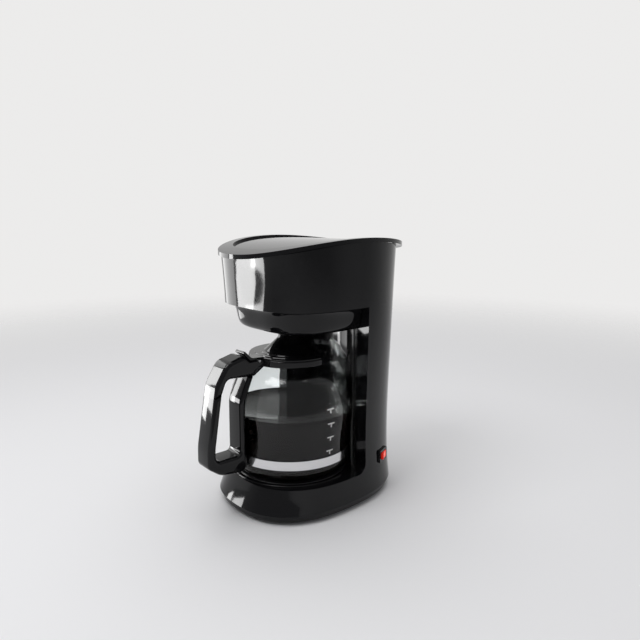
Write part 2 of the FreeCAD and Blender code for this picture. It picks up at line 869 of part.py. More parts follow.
def bowl_form(thickness, high):
    """Brew bowl's form up to a height, set in by a wall; its lower edge is rounded."""
    low = bowl_bottom + thickness * bowl_floor / bowl_wall
    side = bowl_step + thickness
    slant = 1 - math.sqrt(0.5)
    steps = [(0, bowl_taper + bowl_round), (slant * bowl_round, bowl_taper + slant * bowl_round),
             (bowl_round, bowl_taper)]
    sections = [oval(skirt_level, side + inset, low + rise) for rise, inset in steps]
    sections.append(oval(skirt_level, side, skirt_height))
    form = Part.makeLoft(sections, True).fuse(oval_prism(skirt_level, side, skirt_height, high))
    return form.common(bay_plan(-bowl_bay_gap - thickness, bowl_bottom - 1, high + 1))


def brew_bowl():
    """Bowl hung through the head's deck, rounded below, with the drip stop's boss."""
    high = deck_top + bowl_flange
    ledge = bowl_plan(bowl_ledge, deck_top, high).common(bay_plan(-bowl_bay_gap / 2, deck_top - 1,
                                                                  high + 1))
    boss = turned([(0, bowl_bottom - boss_drop, 0), (boss_tip_radius, bowl_bottom - boss_drop, 1.5),
                   (boss_radius, bowl_bottom + bowl_floor / 2, 0), (0, bowl_bottom + bowl_floor / 2, 0)])
    bowl = bowl_form(0, high).fuse(ledge).fuse(boss).cut(bowl_form(bowl_wall, high + 1))
    bowl = bowl.cut(post(outlet_radius + slip_fit, bowl_bottom - through / 4, basket_bottom + 1, 0,
                         carafe_axis))
    return bowl.removeSplitter()


def filter_basket():
    """Fluted cone cup with an outlet tube that passes through the bowl's boss."""
    low = basket_bottom
    tube_low = bowl_bottom - boss_drop
    corners = [(outlet_radius - outlet_wall, tube_low, 0), (outlet_radius, tube_low, 0),
               (outlet_radius, low, 0),
               (basket_bottom_radius, low, 2.0), (basket_top_radius - 1, basket_top - basket_rim, 0),
               (basket_top_radius + basket_rim, basket_top - basket_rim, 0),
               (basket_top_radius + basket_rim, basket_top, 1.0),
               (basket_top_radius - basket_wall, basket_top, 0.6),
               (basket_bottom_radius - basket_wall, low + 2, 1.5),
               (outlet_radius - outlet_wall, low + 2, 0)]
    cup = turned(corners)
    for index in range(basket_ribs):
        turn = 360.0 * index / basket_ribs
        rib = side_profile([(basket_bottom_radius - 6, low + 1.5, 0),
                            (basket_bottom_radius - 1, low + 1.5, 0),
                            (basket_top_radius - 1, basket_top - 4, 0),
                            (basket_top_radius - 3, basket_top - 4, 0)],
                           0.7)
        rib.rotate(point(0, 0, 0), up, turn)
        rib.translate(point(0, carafe_axis, 0))
        cup = cup.fuse(rib)
    return cup.removeSplitter()


seal_low = basket_bottom + 2.0
seal_high = seal_low + 1.5
valve_head_low = seal_high + moving_gap
spring_low = valve_head_low + valve_head_height


def drip_seal():
    inner = outlet_radius - outlet_wall
    return turned([(inner, seal_low, 0), (inner + seal_width, seal_low, 0),
                   (inner + seal_width, seal_high, 0.4),
                   (inner, seal_high, 0.4)])


def drip_valve():
    """Mushroom valve: head over the seal, finned guide in the outlet tube, round tip below."""
    guide = outlet_radius - outlet_wall - moving_gap
    stem = turned([(0, valve_tip, 0), (valve_stem_radius, valve_tip, 1.6),
                   (valve_stem_radius, spring_low, 0),
                   (0, spring_low, 0)])
    head = turned([(0, valve_head_low, 0), (valve_head_radius, valve_head_low, 0.6),
                   (valve_head_radius, spring_low, 0.6), (0, spring_low, 0)])
    crown = turned([(0, spring_low - 0.5, 0), (spring_radius - 1.2, spring_low - 0.5, 0),
                    (spring_radius - 1.2, spring_low + 3, 0.8), (0, spring_low + 3, 0)])
    valve = stem.fuse(head).fuse(crown)
    for turn in (0, 90):
        fin = box((-guide, -0.8, valve_tip + 4), (guide, 0.8, valve_head_low + 0.5))
        fin.rotate(point(0, 0, 0), up, turn)
        fin.translate(point(0, carafe_axis, 0))
        valve = valve.fuse(fin)
    return valve.removeSplitter()


def drip_spring():
    """Coil between the valve's head and the retainer, a ruled loft of six-sided wire sections."""
    low = spring_low + spring_wire + moving_gap / 3
    height = spring_height - 2 * spring_wire - moving_gap / 3
    count = spring_turns * coil_steps
    sections = []
    for step in range(count + 1):
        turn = 2 * math.pi * step / coil_steps
        corners = []
        for corner in range(7):
            way = math.pi * corner / 3
            radius = spring_radius + spring_wire * math.cos(way)
            rise = low + height * step / count + spring_wire * math.sin(way)
            corners.append(point(radius * math.cos(turn), carafe_axis + radius * math.sin(turn), rise))
        sections.append(Part.makePolygon(corners))
    return Part.makeLoft(sections, True, True)


def valve_retainer():
    """Bridge that clips to the basket's floor and holds the spring down."""
    low = spring_low + spring_height
    high = low + retainer_thickness
    plate = turned([(2.0, low, 0), (retainer_radius + retainer_leg, low, 0),
                    (retainer_radius + retainer_leg, high, 0.6), (2.0, high, 0)])
    for turn in (45, 135, 225, 315):
        leg = box((retainer_radius, -2.5, seal_low), (retainer_radius + retainer_leg, 2.5, low + 0.5))
        window = box((spring_radius + 2, -2.5, low - 1), (retainer_radius - 2, 2.5, high + 1))
        for form in (leg, window):
            form.rotate(point(0, 0, 0), up, turn)
            form.translate(point(0, carafe_axis, 0))
        plate = plate.fuse(leg).cut(window)
    return plate.removeSplitter()


def switch_bezel():
    """Snap-in frame with its switch body behind the wall."""
    flange = switch_block(switch_width, switch_tall, -wall / 2, switch_proud)
    long_edges = [edge for edge in flange.Edges if edge.BoundBox.XLength > switch_proud]
    flange = rounded(flange, long_edges, 2.0)
    seat = at_switch(flange).cut(body_form(0))
    body = at_switch(switch_block(switch_width - 2 * switch_frame, switch_tall - 2 * switch_frame,
                                  -switch_depth, switch_proud / 2))
    pocket = at_switch(switch_block(switch_width - 2 * switch_frame - 2, switch_tall - 2 * switch_frame - 2,
                                    -rocker_rise - 4, switch_proud + 1))
    frame = seat.fuse(body).cut(pocket)
    for width in (-5.0, 5.0):
        blade = box((-switch_depth - 7, width - 0.4, -2.4), (-switch_depth + 1, width + 0.4, 2.4))
        frame = frame.fuse(at_switch(blade))
    pin = Part.makeCylinder(rocker_pin_radius, switch_tall - 2 * switch_frame,
                            point(-2, 0, -switch_tall / 2 + switch_frame))
    return frame.fuse(at_switch(pin)).removeSplitter()


def switch_rocker():
    """Red key with two sloping faces, drawn pressed to its on side."""
    half = (switch_width - 2 * switch_frame - 2) / 2 - 0.8
    tall = switch_tall - 2 * switch_frame - 2 - 2 * moving_gap
    rise = switch_proud + rocker_rise
    wire = outline([(-rocker_rise, -half * 0.8, 1.0), (rise - 1.6, -half, 0.8), (rise - 2.6, 0, 9.0),
                    (rise - 1.6, half, 0.8), (-rocker_rise, half * 0.8, 1.0)],
                   lambda p: point(p.x, p.y, -tall / 2))
    key = Part.Face(wire).extrude(up * tall)
    key = key.cut(Part.makeCylinder(rocker_pin_radius + pin_fit, 2 * tall, point(-2, 0, -tall)))
    key.rotate(point(-2, 0, 0), up, rocker_tilt)
    return at_switch(key)


def cord_gland():
    """Bush in the back wall that the mains lead would pass through."""
    start = gland_y - wall - gland_depth
    bush = gland_block(gland_neck, start, gland_y + gland_flange_thickness)
    collar = Part.makeCylinder(gland_flange, wall + gland_flange_thickness + 2,
                               point(gland_x, gland_y - wall - 2, gland_height), along_y)
    collar = collar.cut(body_form(0))
    barb = gland_block(gland_neck + gland_barb, start, start + gland_barb_length)
    gland = bush.fuse(collar).fuse(barb)
    return gland.cut(Part.makeCylinder(gland_bore, through / 4, point(gland_x, start - 1, gland_height),
                                       along_y))


def glass_side(inward):
    """Wall of the carafe from the band's top to the neck, moved inwards by a thickness."""
    bulge_z = carafe_bottom + bulge_rise
    neck_z = glass_top - neck_height
    places = [(band_seat_radius - inward, band_top), (bulge_radius - inward, bulge_z),
              (bulge_radius - 0.035 * bulge_radius - inward, bulge_z + 0.38 * (neck_z - bulge_z)),
              (shoulder_radius - 0.8 * inward, glass_top - shoulder_drop - 0.6 * inward),
              (neck_radius + 4.5 - 0.7 * inward, neck_z - 5.0 - 0.7 * inward),
              (neck_radius - inward, neck_z)]
    curve = Part.BSplineCurve()
    curve.interpolate([point(r, carafe_axis, z) for r, z in places],
                      InitialTangent=point(0, 0, 1), FinalTangent=point(0, 0, 1))
    return curve.toShape()


def carafe_glass():
    """Blown glass jug: flat foot, straight seat for the band, bulge, shoulder and neck."""
    def at(r, z):
        return point(r, carafe_axis, z)

    def line(a, b):
        return Part.LineSegment(at(*a), at(*b)).toShape()

    outer_low = (band_seat_radius, band_bottom)
    inner_low = (band_seat_radius - glass_wall, band_bottom)
    floor = carafe_bottom + glass_wall
    slope = 1 - math.sqrt(0.5)
    rise = band_bottom - carafe_bottom
    out = band_seat_radius - glass_foot_radius
    outer_mid = (glass_foot_radius + out * math.sqrt(0.5), carafe_bottom + rise * slope)
    inner_mid = (outer_mid[0] - glass_wall * 0.75, outer_mid[1] + glass_wall * 0.75)
    edges = [line((0, carafe_bottom), (glass_foot_radius, carafe_bottom)),
             Part.Arc(at(glass_foot_radius, carafe_bottom), at(*outer_mid), at(*outer_low)).toShape(),
             line(outer_low, (band_seat_radius, band_top)), glass_side(0),
             line((neck_radius, glass_top - neck_height), (neck_radius, glass_top)),
             line((neck_radius, glass_top), (neck_radius - glass_wall, glass_top)),
             line((neck_radius - glass_wall, glass_top), (neck_radius - glass_wall,
                                                          glass_top - neck_height)),
             glass_side(glass_wall), line((band_seat_radius - glass_wall, band_top), inner_low),
             Part.Arc(at(*inner_low), at(*inner_mid), at(glass_foot_radius - glass_wall, floor)).toShape(),
             line((glass_foot_radius - glass_wall, floor), (0, floor)),
             line((0, floor), (0, carafe_bottom))]
    wire = Part.Wire(Part.__sortEdges__(edges))
    return Part.Face(wire).revolve(point(0, carafe_axis, 0), up, 360)


band_inner = band_seat_radius + hose_fit
band_outer = band_inner + band_thickness
lug_y = carafe_axis - band_outer - band_tab_length
band_screw_y = carafe_axis - band_outer - band_tab_length / 2
band_middle = (band_bottom + band_top) / 2


def steel_band():
    """Clamp strip round the glass with two lugs that reach into the handle."""
    ring = turned([(band_inner, band_bottom, 0), (band_outer, band_bottom, 0), (band_outer, band_top, 0),
                   (band_inner, band_top, 0)])
    lugs = box((-lug_half, lug_y, band_bottom + 1), (lug_half,
                                                     carafe_axis - band_inner - band_thickness / 2,
                                                     band_top - 1))
    ring = ring.fuse(lugs)
    split = box((band_thickness - lug_half, lug_y - 1, band_bottom - 1),
                (lug_half - band_thickness, carafe_axis - band_inner + 1, band_top + 1))
    ring = ring.cut(split)
    hole = Part.makeCylinder(band_screw_radius + slip_fit, 20, point(-10, band_screw_y, band_middle), ahead)
    return ring.cut(hole)


def band_screw():
    head_x = -handle_width / 2 + band_head_depth - band_head_height
    head = Part.makeCylinder(band_head_radius, band_head_height,
                             point(head_x, band_screw_y, band_middle), ahead)
    shank = Part.makeCylinder(band_screw_radius, handle_width - 8,
                              point(head_x, band_screw_y, band_middle), ahead)
    return head.fuse(shank)


# Side view of the handle: y and z of its corners
arm_peak = (carafe_axis - 73.0, brim_top + 6.5)
arm_bend = (handle_front + 25.0, brim_top + 1.0)
arm_drop = (handle_front + 11.5, brim_top - 20.5)
seam_out = (handle_front + 9.0, brim_top - 34.5)
seam_in = (seam_out[0] + grip_depth, seam_out[1] + 3.0)
arm_inside = (handle_front + 25.0, brim_top - 16.0)
arm_under = (carafe_axis - 60.0, brim_top - 18.5)
arm_root = carafe_axis - collar_radius + 3.0
bar_in = carafe_axis - max(bulge_radius, band_seat_radius) - moving_gap
bar_out = bar_in - bar_thickness
foot_low = carafe_bottom + 10.0
foot_high = band_top + 4.0
foot_end = carafe_axis - band_outer - moving_gap


def carafe_collar():
    """Collar over the glass neck with a pouring spout behind and the handle's arm in front."""
    high = brim_bottom
    ring = turned([(neck_radius - glass_wall - 1.0, glass_top, 0), (neck_radius + slip_fit, glass_top, 0),
                   (neck_radius + slip_fit, collar_bottom + 2.0, 0),
                   (neck_radius + slip_fit + collar_wall, collar_bottom + 2.0, 0),
                   (neck_radius + slip_fit + collar_wall, glass_top - 1, 0),
                   (collar_radius - collar_wall, glass_top - 1, 0),
                   (collar_radius - collar_wall, collar_bottom, 0),
                   (collar_radius, collar_bottom, 1.0), (collar_radius, high, 1.5),
                   (neck_radius - glass_wall - 1.0, high, 0)])
    nose_y = carafe_axis + spout_reach
    root_y = carafe_axis + math.sqrt(collar_radius ** 2 - spout_half_width ** 2)
    nose = plan_profile([(-spout_half_width, root_y - 6, 0), (-spout_half_width, root_y, 6), (0, nose_y, 6),
                         (spout_half_width, root_y, 6), (spout_half_width, root_y - 6, 0)],
                         collar_bottom + 2, high)
    groove = plan_profile([(-spout_half_width + 4, root_y - 8, 0), (-spout_half_width + 4, root_y - 1, 5),
                           (0, nose_y - 4, 5), (spout_half_width - 4, root_y - 1, 5),
                           (spout_half_width - 4, root_y - 8, 0)], collar_bottom + 4, high + 1)
    nose = nose.cut(groove).cut(post(collar_radius - collar_wall / 2, 0, through, 0, carafe_axis))
    arm = side_profile([(arm_root, high, 0), (arm_peak[0] + 10, high, 0), (arm_peak[0], arm_peak[1], 9),
                        (arm_bend[0], arm_bend[1], 16), (arm_drop[0], arm_drop[1], 26),
                        (seam_out[0], seam_out[1], 0), (seam_in[0], seam_in[1], 0),
                        (arm_inside[0], arm_inside[1], 8), (arm_under[0], arm_under[1], 4),
                        (arm_root, collar_bottom, 0)], handle_width / 2)
    flank = [edge for edge in arm.Edges
             if edge.BoundBox.XLength < 0.01 and edge.BoundBox.YMax < arm_root - 0.5]
    arm = rounded(arm, flank, handle_round)
    arm = arm.cut(post(neck_radius + slip_fit + collar_wall / 2, 0, through, 0, carafe_axis))
    slot = box((-tab_width / 2 - moving_gap, arm_root - 14, high - 4),
               (tab_width / 2 + moving_gap, arm_root + 1, through))
    return ring.fuse(nose).fuse(arm).cut(slot).cut(lid_pin_hole()).removeSplitter()


lid_pin_y = carafe_axis - lid_pin_setback
lid_pin_z = brim_bottom - 0.5


def lid_pin_hole():
    return Part.makeCylinder(lid_pin_radius, handle_width, point(-handle_width / 2, lid_pin_y,
                                                                 lid_pin_z), ahead)


def carafe_lid_pin():
    length = tab_width + 8
    return Part.makeCylinder(lid_pin_radius, length, point(-length / 2, lid_pin_y, lid_pin_z), ahead)


def carafe_lid():
    """Stepped lid with a funnel hub under the drip stop and a thumb tab over the handle."""
    plug = neck_radius - glass_wall - 1.0 - slip_fit
    top = turned([(funnel_hole, brim_bottom - 1, 0), (plug - plug_wall, brim_bottom - 1, 0),
                  (plug - plug_wall, brim_bottom - plug_depth, 0), (plug, brim_bottom - plug_depth, 0),
                  (plug, brim_bottom, 0), (collar_radius - 1.0, brim_bottom, 0),
                  (collar_radius - 1.0, brim_top - 0.8, 0.8), (collar_radius - 7, brim_top - 0.8, 0),
                  (collar_radius - 7.6, brim_top, 0), (collar_radius - 14, brim_top, 0),
                  (collar_radius - 14.6, brim_top + 0.9, 0), (hub_radius + 4, brim_top + 0.9, 2.0),
                  (hub_tip_radius + 2, hub_top - 4, 6.0), (hub_tip_radius, hub_top, 1.0),
                  (funnel_radius, hub_top, 0),
                  (funnel_hole, hub_top - 9, 0)])
    tab = side_profile([(arm_root + 6, brim_bottom, 0), (arm_root + 6, brim_top, 0),
                        (arm_peak[0] + 12, brim_top + 1.2, 8), (arm_peak[0] + 3, arm_peak[1] + 3.5, 1.2),
                        (arm_peak[0] + 1, arm_peak[1] + 1.5, 1.0), (arm_peak[0] + 11, brim_bottom + 0.4, 6),
                        (lid_pin_y - 2, brim_bottom + 0.4, 0), (lid_pin_y - 2, brim_bottom - 3, 1.5),
                        (lid_pin_y + 2.6, brim_bottom - 3, 1.5), (lid_pin_y + 2.6, brim_bottom, 0)],
                        tab_width / 2)
    tab = tab.cut(post(collar_radius - 4, 0, through, 0, carafe_axis))
    bore = Part.makeCylinder(lid_pin_radius + pin_fit, tab_width + 2,
                             point(-tab_width / 2 - 1, lid_pin_y, lid_pin_z), ahead)
    return top.fuse(tab).cut(bore).removeSplitter()


def arm_underside(y):
    """Height of the arm's straight underside, where the bar beside the glass ends."""
    slope = (arm_under[1] - arm_inside[1]) / (arm_under[0] - arm_inside[0])
    return arm_inside[1] + slope * (y - arm_inside[0])


def handle_grip():
    """Closed loop's lower part: outer grip, foot on the band and the bar beside the glass."""
    bar_bend = glass_top - bar_lean_drop
    top_in = arm_under[0] - 1.5
    top_out = top_in - bar_thickness
    loop = side_profile([(seam_out[0], seam_out[1], 0), (handle_front, foot_low + 34, 80),
                         (handle_front, foot_low + 15, 8), (handle_front + 15, foot_low + 4, 16),
                         (foot_end - 7, foot_low, 8), (foot_end, foot_low + 6, 3),
                         (foot_end, foot_high - 3, 0),
                         (bar_in, foot_high - 3, 0), (bar_in, bar_bend, 30),
                         (top_in, arm_underside(top_in), 0),
                         (top_out, arm_underside(top_out), 0), (bar_out, bar_bend + 2, 30),
                         (bar_out, foot_high, 5),
                         (handle_front + grip_depth, foot_high, 6),
                         (handle_front + grip_depth, foot_low + 34, 80),
                         (seam_in[0], seam_in[1], 0)], handle_width / 2)
    slot = box((-lug_half - slip_fit, lug_y - moving_gap, band_bottom),
               (lug_half + slip_fit, foot_end + 1, band_top))
    bore = Part.makeCylinder(band_screw_radius + pin_fit, through,
                             point(-handle_width / 2, band_screw_y, band_middle), ahead)
    sink = Part.makeCylinder(band_head_radius + slip_fit, band_head_depth,
                             point(-handle_width / 2, band_screw_y, band_middle), ahead)
    blind = box((handle_width / 2 - bar_thickness / 2, lug_y - through, 0),
                (through, foot_end + through, through))
    return loop.cut(slot).cut(bore.cut(blind)).cut(sink)


pieces = {
    "housing": housing,
    "base_cover": base_cover,
    "rubber_feet": rubber_feet,
    "base_screws": base_screws,
    "warming_plate": warming_plate,
    "plate_seal": plate_seal,
    "heater_body": heater_body,
    "heating_rods": heating_rods,
    "heater_strap": heater_strap,
    "plate_stud": plate_stud,
    "stud_nut": stud_nut,
    "thermostat": thermostat,
    "thermal_fuse": thermal_fuse,
    "water_tank": water_tank,
    "check_valve": check_valve,
    "check_ball": check_ball,
    "inlet_hose": lambda: hose(-1, hose_top),
    "riser_hose": lambda: hose(1, hose_top),
    "hose_clips": hose_clips,
    "riser_tube": riser_tube,
    "shower_head": shower_head,
    "brew_bowl": brew_bowl,
    "filter_basket": filter_basket,
    "drip_seal": drip_seal,
    "drip_valve": drip_valve,
    "drip_spring": drip_spring,
    "valve_retainer": valve_retainer,
    "switch_bezel": switch_bezel,
    "switch_rocker": switch_rocker,
    "cord_gland": cord_gland,
    "top_lid": top_lid,
    "lid_hinge_pins": hinge_pins,
    "carafe_glass": carafe_glass,
    "carafe_collar": carafe_collar,
    "carafe_lid": carafe_lid,
    "carafe_lid_pin": carafe_lid_pin,
    "steel_band": steel_band,
    "band_screw": band_screw,
    "handle_grip": handle_grip,
}

os.makedirs("parts", exist_ok=True)
for name, make in pieces.items():
    shape = make()
    shape.exportStep("parts/" + name + ".step")
    solids = shape.Solids
    print(name, len(solids), "solid(s)", "valid" if shape.isValid() else "NOT VALID",
          round(shape.Volume / 1000, 2), "cm3")
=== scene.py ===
import json
import math

import bmesh
import bpy
from mathutils import Matrix, Vector
from mathutils.bvhtree import BVHTree


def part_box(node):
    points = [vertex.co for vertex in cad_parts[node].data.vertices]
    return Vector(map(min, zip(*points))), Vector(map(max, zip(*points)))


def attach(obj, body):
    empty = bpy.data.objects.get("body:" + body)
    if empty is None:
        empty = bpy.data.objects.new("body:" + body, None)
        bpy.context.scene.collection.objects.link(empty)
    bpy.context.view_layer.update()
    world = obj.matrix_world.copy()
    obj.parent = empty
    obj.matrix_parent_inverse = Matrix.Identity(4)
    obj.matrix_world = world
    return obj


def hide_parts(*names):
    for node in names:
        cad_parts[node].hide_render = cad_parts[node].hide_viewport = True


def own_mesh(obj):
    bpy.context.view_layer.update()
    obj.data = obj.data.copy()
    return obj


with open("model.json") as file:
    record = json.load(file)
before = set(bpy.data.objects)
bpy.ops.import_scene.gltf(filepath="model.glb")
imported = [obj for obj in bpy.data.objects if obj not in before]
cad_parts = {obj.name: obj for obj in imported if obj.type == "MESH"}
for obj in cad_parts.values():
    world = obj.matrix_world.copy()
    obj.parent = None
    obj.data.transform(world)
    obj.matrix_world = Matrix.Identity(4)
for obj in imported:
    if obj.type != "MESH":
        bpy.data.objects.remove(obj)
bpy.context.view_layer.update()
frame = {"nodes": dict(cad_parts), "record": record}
nodes = frame["nodes"]
scene = bpy.context.scene
scene.view_settings.view_transform = "Standard"
print("frame loaded:", len(nodes), "nodes")

carafeAxis = Vector((0, -0.012, 0))


# small helpers for shader trees

def freshMaterial(name):
    made = bpy.data.materials.new(name)
    made.use_nodes = True
    tree = made.node_tree
    return made, tree, tree.nodes["Principled BSDF"]


def setAll(shader, **values):
    for key, value in values.items():
        shader.inputs[key.replace("_", " ")].default_value = value


def objectPlace(tree, scale=(1, 1, 1), turn=(0, 0, 0), shift=(0, 0, 0)):
    coords = tree.nodes.new("ShaderNodeTexCoord")
    mapping = tree.nodes.new("ShaderNodeMapping")
    mapping.inputs["Scale"].default_value = scale
    mapping.inputs["Rotation"].default_value = turn
    mapping.inputs["Location"].default_value = shift
    tree.links.new(coords.outputs["Object"], mapping.inputs["Vector"])
    return mapping.outputs["Vector"]


def noiseAt(tree, place, scale, detail, roughness):
    noise = tree.nodes.new("ShaderNodeTexNoise")
    noise.inputs["Scale"].default_value = scale
    noise.inputs["Detail"].default_value = detail
    noise.inputs["Roughness"].default_value = roughness
    tree.links.new(place, noise.inputs["Vector"])
    return noise.outputs["Fac"]


def ramp(tree, source, stops):
    node = tree.nodes.new("ShaderNodeValToRGB")
    while len(node.color_ramp.elements) < len(stops):
        node.color_ramp.elements.new(0.5)
    for element, (place, color) in zip(node.color_ramp.elements, stops):
        element.position = place
        element.color = (*color, 1)
    tree.links.new(source, node.inputs["Fac"])
    return node.outputs["Color"]


def between(tree, source, low, high):
    node = tree.nodes.new("ShaderNodeMapRange")
    node.inputs["To Min"].default_value = low
    node.inputs["To Max"].default_value = high
    tree.links.new(source, node.inputs["Value"])
    return node.outputs["Result"]


def bump(tree, shader, source, strength, distance):
    node = tree.nodes.new("ShaderNodeBump")
    node.inputs["Strength"].default_value = strength
    node.inputs["Distance"].default_value = distance
    tree.links.new(source, node.inputs["Height"])
    tree.links.new(node.outputs["Normal"], shader.inputs["Normal"])


def colorFrom(tree, shader, source, stops):
    tree.links.new(ramp(tree, source, stops), shader.inputs["Base Color"])


def roughnessFrom(tree, shader, source, limits):
    tree.links.new(between(tree, source, *limits), shader.inputs["Roughness"])


# finishes: a noise is its scale, detail and roughness, and a bump is its strength and depth

glossBlack = {"shades": [(0.35, (0.0032, 0.0032, 0.0037)), (0.7, (0.0055, 0.0055, 0.0062))],
              "cloud": (16, 4, 0.6), "smear": (42, 5, 0.65), "smearStretch": (1, 1, 0.35),
              "smearTurn": (0.2, 0.1, 0), "polish": (0.04, 0.09), "peel": (130, 1, 0.4),
              "peelBump": (0.12, 0.00003), "ior": 1.48, "shine": 0.3}
ballWhite = {**glossBlack, "shades": [(0.35, (0.7, 0.7, 0.68)), (0.7, (0.8, 0.8, 0.78))],
             "polish": (0.15, 0.25), "peel": (300, 1, 0.4), "shine": 0.5}


def glossPlastic(name, look):
    made, tree, shader = freshMaterial(name)
    place = objectPlace(tree)
    colorFrom(tree, shader, noiseAt(tree, place, *look["cloud"]), look["shades"])
    wiped = objectPlace(tree, look["smearStretch"], look["smearTurn"])
    roughnessFrom(tree, shader, noiseAt(tree, wiped, *look["smear"]), look["polish"])
    bump(tree, shader, noiseAt(tree, place, *look["peel"]), *look["peelBump"])
    setAll(shader, IOR=look["ior"], Specular_IOR_Level=look["shine"])
    return made


matteBlack = {"shades": [(0.3, (0.018, 0.018, 0.019)), (0.75, (0.0263, 0.0263, 0.02765))],
              "cloud": (30, 3, 0.5), "grain": (900, 2, 0.6), "rough": (0.42, 0.6),
              "grainBump": (0.25, 0.00006)}
smokeGrey = {**matteBlack, "shades": [(0.3, (0.1, 0.105, 0.11)), (0.75, (0.137, 0.14375, 0.1505))],
             "grain": (400, 2, 0.6), "rough": (0.3, 0.45)}


def mattePlastic(name, look):
    made, tree, shader = freshMaterial(name)
    place = objectPlace(tree)
    colorFrom(tree, shader, noiseAt(tree, place, *look["cloud"]), look["shades"])
    grain = noiseAt(tree, place, *look["grain"])
    roughnessFrom(tree, shader, grain, look["rough"])
    bump(tree, shader, grain, *look["grainBump"])
    return made


rubberBlack = {"shades": [(0.35, (0.02, 0.02, 0.02)), (0.8, (0.034, 0.034, 0.034))],
               "dust": (60, 6, 0.7), "rough": (0.6, 0.8), "grain": (500, 2, 0.5),
               "grainBump": (0.3, 0.00008)}


def softRubber(name, look):
    made, tree, shader = freshMaterial(name)
    place = objectPlace(tree)
    dust = noiseAt(tree, place, *look["dust"])
    colorFrom(tree, shader, dust, look["shades"])
    roughnessFrom(tree, shader, dust, look["rough"])
    bump(tree, shader, noiseAt(tree, place, *look["grain"]), *look["grainBump"])
    return made


extrudedAluminium = {"shades": [(0.3, (0.5808, 0.5896, 0.5984)), (0.7, (0.66, 0.67, 0.68))],
                     "stretch": (1, 0.06, 1), "grain": (240, 4, 0.6), "rough": (0.3, 0.5),
                     "grainBump": (0.1, 0.00002)}
platedSteel = {"shades": [(0.3, (0.484, 0.4928, 0.5016)), (0.7, (0.55, 0.56, 0.57))],
               "stretch": (1, 1, 1), "grain": (420, 4, 0.6), "rough": (0.25, 0.4),
               "grainBump": (0.1, 0.00002)}
polishedStrip = {"shades": [(0.3, (0.6512, 0.6512, 0.66)), (0.7, (0.74, 0.74, 0.75))],
                 "stretch": (0.5, 0.5, 40), "grain": (60, 4, 0.6), "rough": (0.09, 0.2),
                 "grainBump": (0.1, 0.00001)}


def metal(name, look):
    made, tree, shader = freshMaterial(name)
    grain = noiseAt(tree, objectPlace(tree, look["stretch"]), *look["grain"])
    colorFrom(tree, shader, grain, look["shades"])
    roughnessFrom(tree, shader, grain, look["rough"])
    bump(tree, shader, grain, *look["grainBump"])
    setAll(shader, Metallic=1.0)
    return made


nonStick = {"shades": [(0.55, (0.011, 0.011, 0.012)), (0.78, (0.05, 0.05, 0.052))],
            "speck": (1400, 2, 0.7), "speckBump": (0.15, 0.00004), "stain": (36, 5, 0.6),
            "rough": (0.22, 0.42)}


def coatedPlate(name, look):
    made, tree, shader = freshMaterial(name)
    place = objectPlace(tree)
    speck = noiseAt(tree, place, *look["speck"])
    colorFrom(tree, shader, speck, look["shades"])
    roughnessFrom(tree, shader, noiseAt(tree, place, *look["stain"]), look["rough"])
    bump(tree, shader, speck, *look["speckBump"])
    return made


blownGlass = {"color": (0.96, 0.985, 0.98, 1), "ior": 1.36, "wave": (28, 1, 0.3),
              "waveStretch": (1, 1, 0.5), "waveBump": (0.05, 0.0008), "film": (60, 4, 0.6),
              "rough": (0.0, 0.03)}


def clearGlass(name, look):
    made, tree, shader = freshMaterial(name)
    setAll(shader, Base_Color=look["color"], Transmission_Weight=1.0, IOR=look["ior"])
    wave = noiseAt(tree, objectPlace(tree, look["waveStretch"]), *look["wave"])
    bump(tree, shader, wave, *look["waveBump"])  # blown glass is never quite even
    roughnessFrom(tree, shader, noiseAt(tree, objectPlace(tree), *look["film"]), look["rough"])
    return made


milkWhite = {"shades": [(0.3, (0.55, 0.54, 0.5)), (0.7, (0.68, 0.67, 0.64))], "cloud": (55, 3, 0.5),
             "rough": (0.35, 0.5), "grain": (300, 2, 0.5), "grainBump": (0.15, 0.00005),
             "scatter": 0.15, "scatterReach": (0.004, 0.004, 0.003)}


def milkySilicone(name, look):
    made, tree, shader = freshMaterial(name)
    place = objectPlace(tree)
    cloud = noiseAt(tree, place, *look["cloud"])
    colorFrom(tree, shader, cloud, look["shades"])
    roughnessFrom(tree, shader, cloud, look["rough"])
    bump(tree, shader, noiseAt(tree, place, *look["grain"]), *look["grainBump"])
    setAll(shader, Subsurface_Weight=look["scatter"], Subsurface_Radius=look["scatterReach"])
    return made


# the red key's glow is painted light: an emissive spot in its middle stands in for a highlight on the
# unlit key
paintedGlowRed = {"shades": [(0.3, (0.32, 0.006, 0.006)), (0.7, (0.5, 0.014, 0.01))],
           "cloud": (260, 3, 0.5), "cloudBump": (0.08, 0.00005), "rough": 0.12,
           "glowReach": 0.011, "glowStrength": 0.8,
           "glow": [(0.05, (0.12, 0.0, 0.0)), (0.55, (0.6, 0.02, 0.01)), (1.0, (1.0, 0.3, 0.18))]}


def redWithPaintedGlow(name, look):
    made, tree, shader = freshMaterial(name)
    cloud = noiseAt(tree, objectPlace(tree), *look["cloud"])
    colorFrom(tree, shader, cloud, look["shades"])
    bump(tree, shader, cloud, *look["cloudBump"])
    low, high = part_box("switch_rocker")
    zoom = 1 / look["glowReach"]
    shift = tuple(-c * zoom for c in (low + high) / 2)
    lamp = tree.nodes.new("ShaderNodeTexGradient")  # painted glow in the key's middle: an emissive spot that stands in for a highlight, with no lamp behind it
    lamp.gradient_type = "SPHERICAL"
    tree.links.new(objectPlace(tree, (zoom, zoom, zoom), shift=shift), lamp.inputs["Vector"])
    glow = ramp(tree, lamp.outputs["Fac"], look["glow"])
    tree.links.new(glow, shader.inputs["Emission Color"])
    setAll(shader, Emission_Strength=look["glowStrength"], Roughness=look["rough"])
    return made


blackCoffee = {"shades": [(0.3, (0.0022, 0.0013, 0.001)), (0.75, (0.0045, 0.0024, 0.0016))],
               "swirl": (24, 4, 0.6), "rough": (0.03, 0.07), "ior": 1.34, "shine": 0.2}


